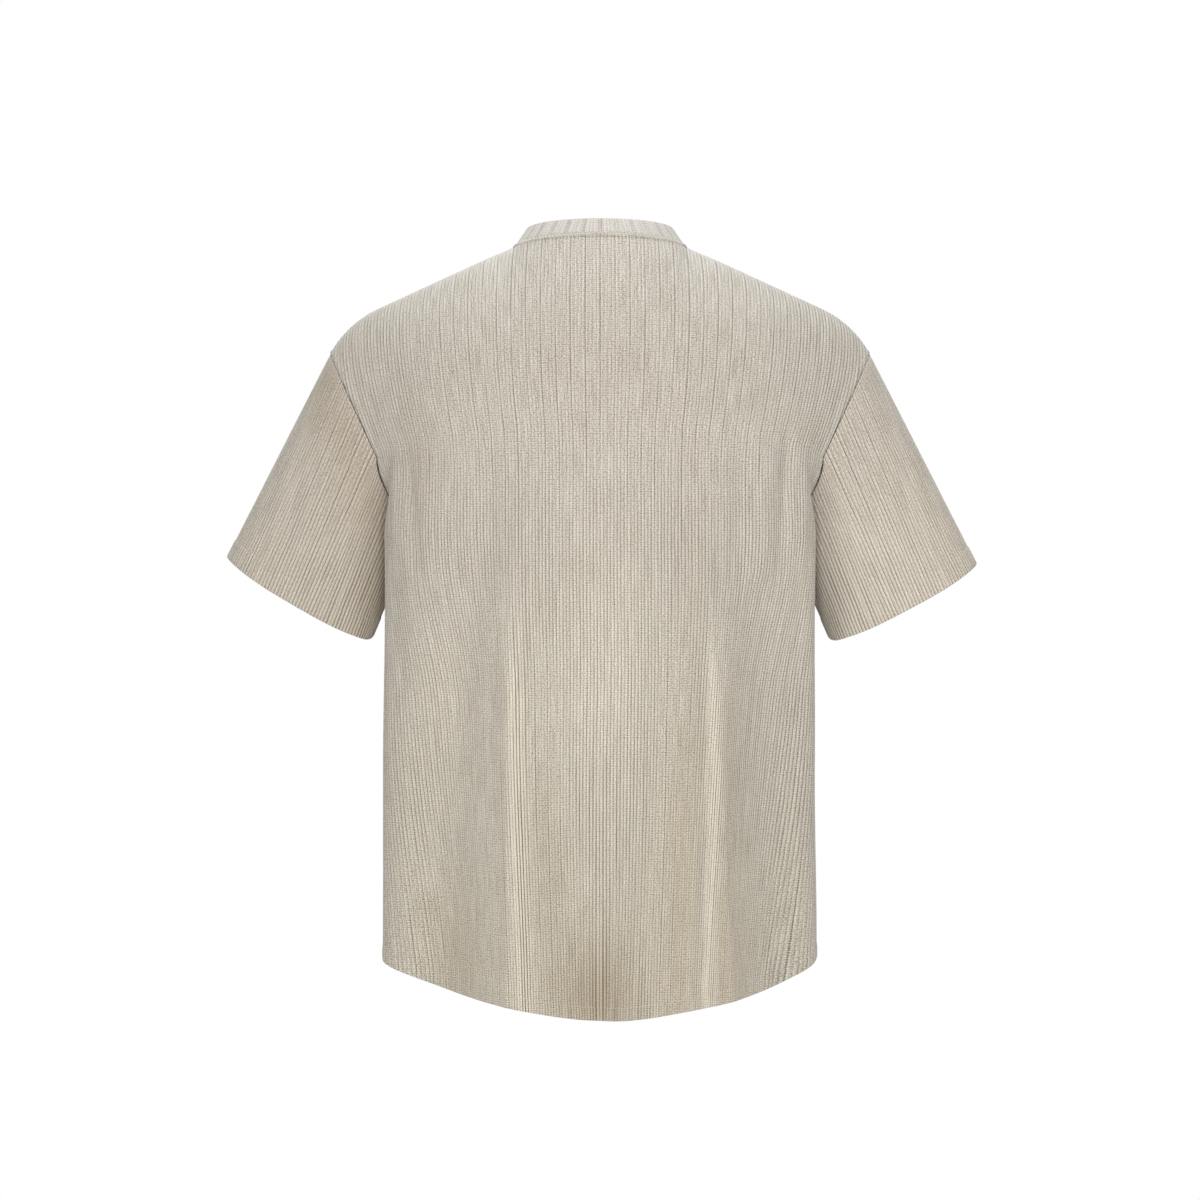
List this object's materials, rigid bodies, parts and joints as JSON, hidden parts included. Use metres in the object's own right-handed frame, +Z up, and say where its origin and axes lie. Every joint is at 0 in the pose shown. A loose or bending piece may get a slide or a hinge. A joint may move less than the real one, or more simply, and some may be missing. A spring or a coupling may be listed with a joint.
{
  "type": "ribbed t-shirt",
  "caption": "Ribbed knit t-shirt, filled out as worn, with a stand-up neckband, dropped shoulders, wide short sleeves and a curved hem.",
  "frame": {"origin": "midway between the two high shoulder points, where the neck seam meets the shoulder seams and the top rests on the wearer", "axes": "+Z up, -Y the way the front faces, +X the wearer's left"},
  "size_m": [0.6959, 0.2473, 0.7313],
  "materials": {
    "body_rib": "matt stone-coloured rib knit with a soft nap",
    "sleeve_rib": "the same rib knit, with its ribs running down the sleeve",
    "neckband_rib": "the same rib knit folded double, with its ribs upright"
  },
  "bodies": {
    "root": {"back": "body_rib", "front": "body_rib", "sleeve_left": "sleeve_rib", "sleeve_right": "sleeve_rib", "neckband": "neckband_rib"}
  },
  "joints": []
}
